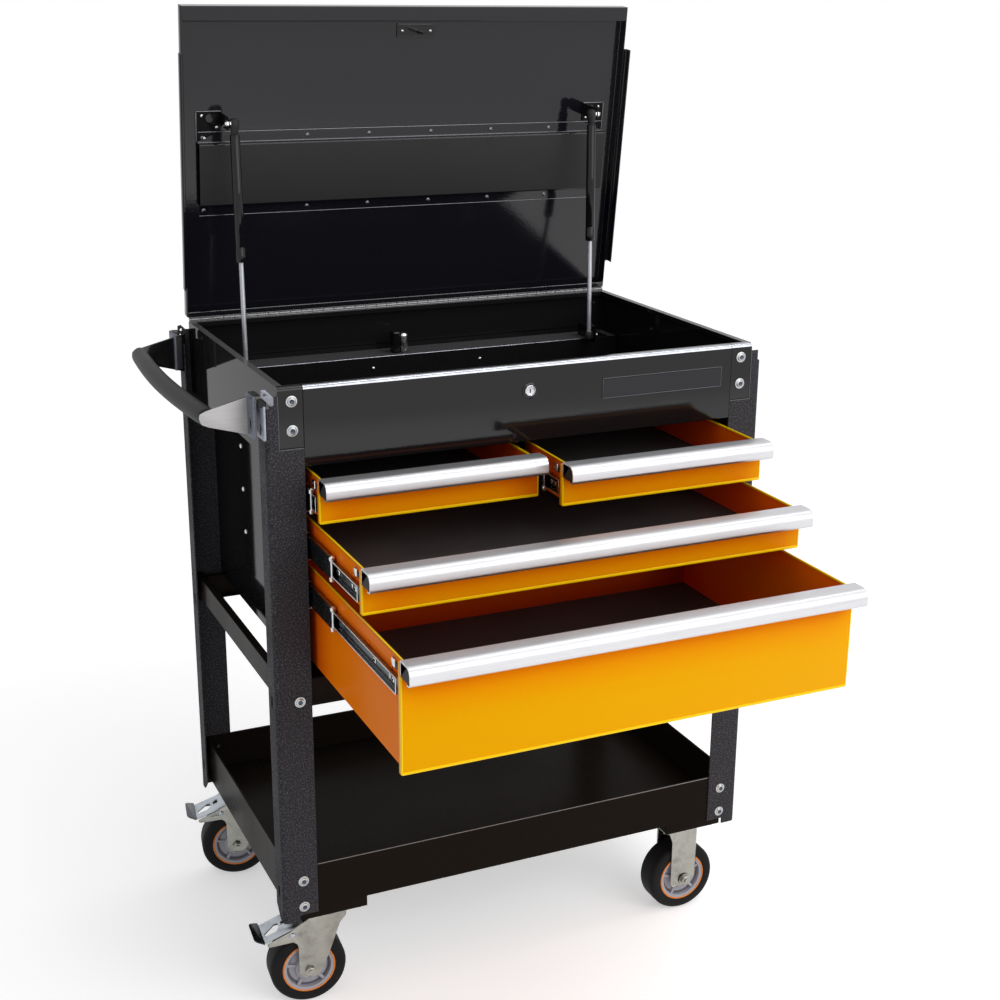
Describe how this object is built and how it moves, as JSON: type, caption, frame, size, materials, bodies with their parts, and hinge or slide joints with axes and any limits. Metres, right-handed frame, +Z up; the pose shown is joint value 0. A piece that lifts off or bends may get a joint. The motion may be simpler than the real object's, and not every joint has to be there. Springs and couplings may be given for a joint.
{
  "type": "rolling tool chest",
  "caption": "Rolling tool chest with a lidded top box on gas struts, full-extension drawers, an open lower tray, a side push handle and braked swivel casters.",
  "frame": {"origin": "on the floor, under the middle of the overall bounding box as drawn with lid and drawers open", "axes": "+Z up, drawers open towards -Y, the push handle is on the -X side"},
  "size_m": [0.931, 0.9384, 1.5728],
  "materials": {
    "post_coat": "textured powder coat",
    "black_gloss": "gloss",
    "tray_paint": "semi-gloss",
    "drawer_paint": "gloss",
    "liner": "matt",
    "pull_alu": "brushed",
    "zinc": "zinc plated",
    "chrome": "polished",
    "grip": "matt",
    "strut_black": "gloss",
    "handle_alu": "satin",
    "tread": "matt",
    "blue_zinc": "blue zinc",
    "satin_plate": "satin"
  },
  "bodies": {
    "chest": {"front_posts": "post_coat", "rear_posts": "post_coat", "frame_rails": "tray_paint", "tray": "tray_paint", "top_box_front": "black_gloss", "top_box_shell": "black_gloss", "top_box_floor": "black_gloss", "rear_ledge": "black_gloss", "cabinet_shell": "black_gloss", "badge_plate": "satin_plate", "lock_housing": "chrome", "ledge_clip": "black_gloss", "handle_frame": "handle_alu", "handle_grip": "grip", "handle_brackets": "zinc", "cabinet_slide_rails": "zinc", "hinge_leaf_box": "black_gloss", "hinge_pin": "chrome", "box_strut_studs": "black_gloss", "caster_plates": "zinc", "rigid_forks": "zinc", "frame_bolts": "zinc"},
    "lid": {"hinge_leaf_lid": "black_gloss", "lid_shell": "black_gloss", "lid_channel": "black_gloss", "lid_striker": "zinc", "lid_strut_brackets": "black_gloss"},
    "lock": {"lock_barrel": "chrome"},
    "strut_rod_left": {"strut_rod_left": "chrome"},
    "strut_tube_left": {"strut_tube_left": "strut_black"},
    "strut_rod_right": {"strut_rod_right": "chrome"},
    "strut_tube_right": {"strut_tube_right": "strut_black"},
    "drawer_1": {"drawer_1_box": "drawer_paint", "drawer_1_liner": "liner", "drawer_1_pull": "pull_alu", "drawer_1_slides": "zinc"},
    "middle_1": {"drawer_1_middles": "zinc"},
    "drawer_2": {"drawer_2_box": "drawer_paint", "drawer_2_liner": "liner", "drawer_2_pull": "pull_alu", "drawer_2_slides": "zinc"},
    "middle_2": {"drawer_2_middles": "zinc"},
    "drawer_3": {"drawer_3_box": "drawer_paint", "drawer_3_liner": "liner", "drawer_3_pull": "pull_alu", "drawer_3_slides": "zinc"},
    "middle_3": {"drawer_3_middles": "zinc"},
    "drawer_4": {"drawer_4_box": "drawer_paint", "drawer_4_liner": "liner", "drawer_4_pull": "pull_alu", "drawer_4_slides": "zinc"},
    "middle_4": {"drawer_4_middles": "zinc"},
    "swivel_front": {"swivel_fork_front": "zinc"},
    "pedal_front": {"brake_pedal_front": "blue_zinc"},
    "wheel_front_left": {"wheel_front_left": "tread"},
    "wheel_front_right": {"wheel_front_right": "tread"},
    "swivel_rear": {"swivel_fork_rear": "zinc"},
    "pedal_rear": {"brake_pedal_rear": "blue_zinc"},
    "wheel_rear_left": {"wheel_rear_left": "tread"},
    "wheel_rear_right": {"wheel_rear_right": "tread"}
  },
  "joints": [
    {"name": "lid_hinge", "type": "hinge", "parent": "chest", "child": "lid", "pos_m": [0.0445, 0.44983, 1.055], "axis": [1, 0, 0], "range_deg": [0, 82.7]},
    {"name": "lock_turn", "type": "hinge", "parent": "chest", "child": "lock", "pos_m": [0.0445, -0.07017, 1.011], "axis": [0, 1, 0], "range_deg": [-90, 0]},
    {"name": "strut_left_swing", "type": "hinge", "parent": "chest", "child": "strut_rod_left", "pos_m": [-0.283, 0.36084, 0.987], "axis": [1, 0, 0], "range_deg": [0, 84.11]},
    {"name": "strut_left_slide", "type": "slide", "parent": "strut_rod_left", "child": "strut_tube_left", "axis": [0, 0.0275, 0.9996], "range_m": [-0.14784, 0]},
    {"name": "strut_right_swing", "type": "hinge", "parent": "chest", "child": "strut_rod_right", "pos_m": [0.372, 0.36084, 0.987], "axis": [1, 0, 0], "range_deg": [0, 84.11]},
    {"name": "strut_right_slide", "type": "slide", "parent": "strut_rod_right", "child": "strut_tube_right", "axis": [0, 0.0275, 0.9996], "range_m": [-0.14784, 0]},
    {"name": "drawer_1_slide", "type": "slide", "parent": "chest", "child": "drawer_1", "axis": [0, -1, 0], "range_m": [-0.0445, 0.3955]},
    {"name": "middle_1_slide", "type": "slide", "parent": "chest", "child": "middle_1", "axis": [0, -1, 0], "range_m": [-0.02226, 0.19776]},
    {"name": "drawer_2_slide", "type": "slide", "parent": "chest", "child": "drawer_2", "axis": [0, -1, 0], "range_m": [-0.105, 0.335]},
    {"name": "middle_2_slide", "type": "slide", "parent": "chest", "child": "middle_2", "axis": [0, -1, 0], "range_m": [-0.05251, 0.16751]},
    {"name": "drawer_3_slide", "type": "slide", "parent": "chest", "child": "drawer_3", "axis": [0, -1, 0], "range_m": [-0.221, 0.219]},
    {"name": "middle_3_slide", "type": "slide", "parent": "chest", "child": "middle_3", "axis": [0, -1, 0], "range_m": [-0.11051, 0.10951]},
    {"name": "drawer_4_slide", "type": "slide", "parent": "chest", "child": "drawer_4", "axis": [0, -1, 0], "range_m": [-0.366, 0.074]},
    {"name": "middle_4_slide", "type": "slide", "parent": "chest", "child": "middle_4", "axis": [0, -1, 0], "range_m": [-0.10981, 0.02221]},
    {"name": "swivel_front_turn", "type": "hinge", "parent": "chest", "child": "swivel_front", "pos_m": [-0.2895, -0.02686, 0.17], "axis": [0, 0, 1], "continuous": true},
    {"name": "pedal_front_press", "type": "hinge", "parent": "swivel_front", "child": "pedal_front", "pos_m": [-0.35426, -0.02131, 0.135], "axis": [0.0854, 0.9963, 0], "range_deg": [-12, 0]},
    {"name": "wheel_front_left_roll", "type": "hinge", "parent": "swivel_front", "child": "wheel_front_left", "pos_m": [-0.32736, -0.02362, 0.0635], "axis": [0.0854, 0.9963, 0], "continuous": true},
    {"name": "wheel_front_right_roll", "type": "hinge", "parent": "chest", "child": "wheel_front_right", "pos_m": [0.3785, -0.02686, 0.0635], "axis": [0, 1, 0], "continuous": true},
    {"name": "swivel_rear_turn", "type": "hinge", "parent": "chest", "child": "swivel_rear", "pos_m": [-0.2895, 0.40653, 0.17], "axis": [0, 0, 1], "continuous": true},
    {"name": "pedal_rear_press", "type": "hinge", "parent": "swivel_rear", "child": "pedal_rear", "pos_m": [-0.35359, 0.41737, 0.135], "axis": [0.1668, 0.986, 0], "range_deg": [-12, 0]},
    {"name": "wheel_rear_left_roll", "type": "hinge", "parent": "swivel_rear", "child": "wheel_rear_left", "pos_m": [-0.32697, 0.41287, 0.0635], "axis": [0.1668, 0.986, 0], "continuous": true},
    {"name": "wheel_rear_right_roll", "type": "hinge", "parent": "chest", "child": "wheel_rear_right", "pos_m": [0.3785, 0.40653, 0.0635], "axis": [0, 1, 0], "continuous": true}
  ],
  "couplings": [
    {"joint": "strut_left_swing", "follows": "lid_hinge", "ratio": 1.0169},
    {"joint": "strut_left_slide", "follows": "lid_hinge", "m_per_rad": -0.10239},
    {"joint": "strut_right_swing", "follows": "lid_hinge", "ratio": 1.0169},
    {"joint": "strut_right_slide", "follows": "lid_hinge", "m_per_rad": -0.10239},
    {"joint": "middle_1_slide", "follows": "drawer_1_slide", "ratio": 0.5},
    {"joint": "middle_2_slide", "follows": "drawer_2_slide", "ratio": 0.5},
    {"joint": "middle_3_slide", "follows": "drawer_3_slide", "ratio": 0.5},
    {"joint": "middle_4_slide", "follows": "drawer_4_slide", "ratio": 0.3}
  ]
}
